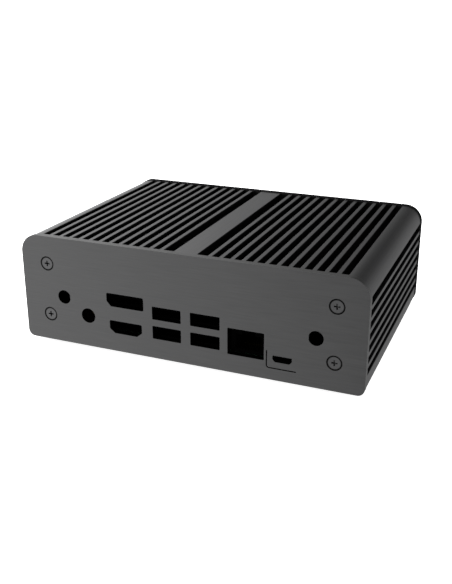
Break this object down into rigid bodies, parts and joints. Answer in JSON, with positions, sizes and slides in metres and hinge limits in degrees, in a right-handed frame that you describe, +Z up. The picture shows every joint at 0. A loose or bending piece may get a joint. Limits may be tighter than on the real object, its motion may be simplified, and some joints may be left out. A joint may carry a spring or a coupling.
{
  "type": "fanless mini pc",
  "caption": "Flat fanless computer case: finned aluminium body between two flat end panels with connector cut-outs, mainboard inside, rubber feet.",
  "frame": {"origin": "centre of the case on the surface that the feet stand on", "axes": "+X to the right facing the connector panel, +Y from the connector panel to the power button's panel, +Z up"},
  "size_m": [0.16, 0.115, 0.0525],
  "materials": {
    "anodised_body": "dark grey anodised, satin",
    "anodised_panel": "dark grey anodised, finely brushed across",
    "anodised_front": "black anodised, finely brushed across",
    "cover_plate": "black powder coat",
    "black_screw": "dark oxide, satin",
    "bright_screw": "zinc plated",
    "foot_rubber": "matt",
    "circuit_board": "solder mask",
    "card_board": "solder mask",
    "brass_post": "turned",
    "package_substrate": "laminate",
    "die_silicon": "polished",
    "thermal_pad": "soft pad",
    "block_aluminium": "milled",
    "socket_plastic": "moulded",
    "port_plastic": "moulded black",
    "port_shell": "black nickel",
    "contact_metal": "gold flash",
    "chip_black": "moulded",
    "capacitor_can": "drawn can",
    "cell_steel": "polished",
    "button_metal": "dark grey anodised, turned",
    "guide_plastic": "moulded",
    "spring_wire": "drawn wire"
  },
  "bodies": {
    "case": {"heatsink_body": "anodised_body", "io_panel": "anodised_panel", "front_panel": "anodised_front", "bottom_cover": "cover_plate", "io_panel_screws": "black_screw", "front_panel_screws": "black_screw", "bottom_cover_screws": "black_screw", "board_screws": "bright_screw", "heat_block_screws": "bright_screw", "drive_screw": "bright_screw", "power_button_guide_screws": "bright_screw", "rubber_foot_front_left": "foot_rubber", "rubber_foot_front_right": "foot_rubber", "rubber_foot_back_left": "foot_rubber", "rubber_foot_back_right": "foot_rubber", "mainboard": "circuit_board", "memory_module": "card_board", "drive_module": "card_board", "board_standoffs": "brass_post", "drive_standoff": "brass_post", "processor_package": "package_substrate", "processor_die": "die_silicon", "thermal_pad": "thermal_pad", "heat_transfer_block": "block_aluminium", "memory_socket": "socket_plastic", "drive_socket": "socket_plastic", "coin_cell_holder": "socket_plastic", "displayport_insert": "port_plastic", "hdmi_insert": "port_plastic", "usb_stack_left_inserts": "port_plastic", "usb_stack_right_inserts": "port_plastic", "front_usb_left_insert": "port_plastic", "front_usb_right_insert": "port_plastic", "lan_jack_housing": "port_plastic", "micro_usb_insert": "port_plastic", "dc_jack_housing": "port_plastic", "displayport_shell": "port_shell", "hdmi_shell": "port_shell", "usb_stack_left_shell": "port_shell", "usb_stack_right_shell": "port_shell", "front_usb_left_shell": "port_shell", "front_usb_right_shell": "port_shell", "lan_jack_shell": "port_shell", "micro_usb_shell": "port_shell", "lan_jack_contacts": "contact_metal", "dc_jack_pin": "contact_metal", "memory_chips": "chip_black", "drive_chips": "chip_black", "controller_chips": "chip_black", "power_inductors": "chip_black", "smoothing_capacitors": "capacitor_can", "coin_cell": "cell_steel", "power_button_guide": "guide_plastic", "power_switch": "guide_plastic", "power_button_spring": "spring_wire"},
    "power_button": {"power_button_cap": "button_metal", "power_switch_plunger": "guide_plastic"}
  },
  "joints": [
    {"name": "power_button_press", "type": "slide", "parent": "case", "child": "power_button", "axis": [0, -1, 0], "range_m": [0, 0.0012], "stiffness_N_per_m": 800, "springref_m": -0.001, "deforming": ["power_button_spring"]}
  ]
}
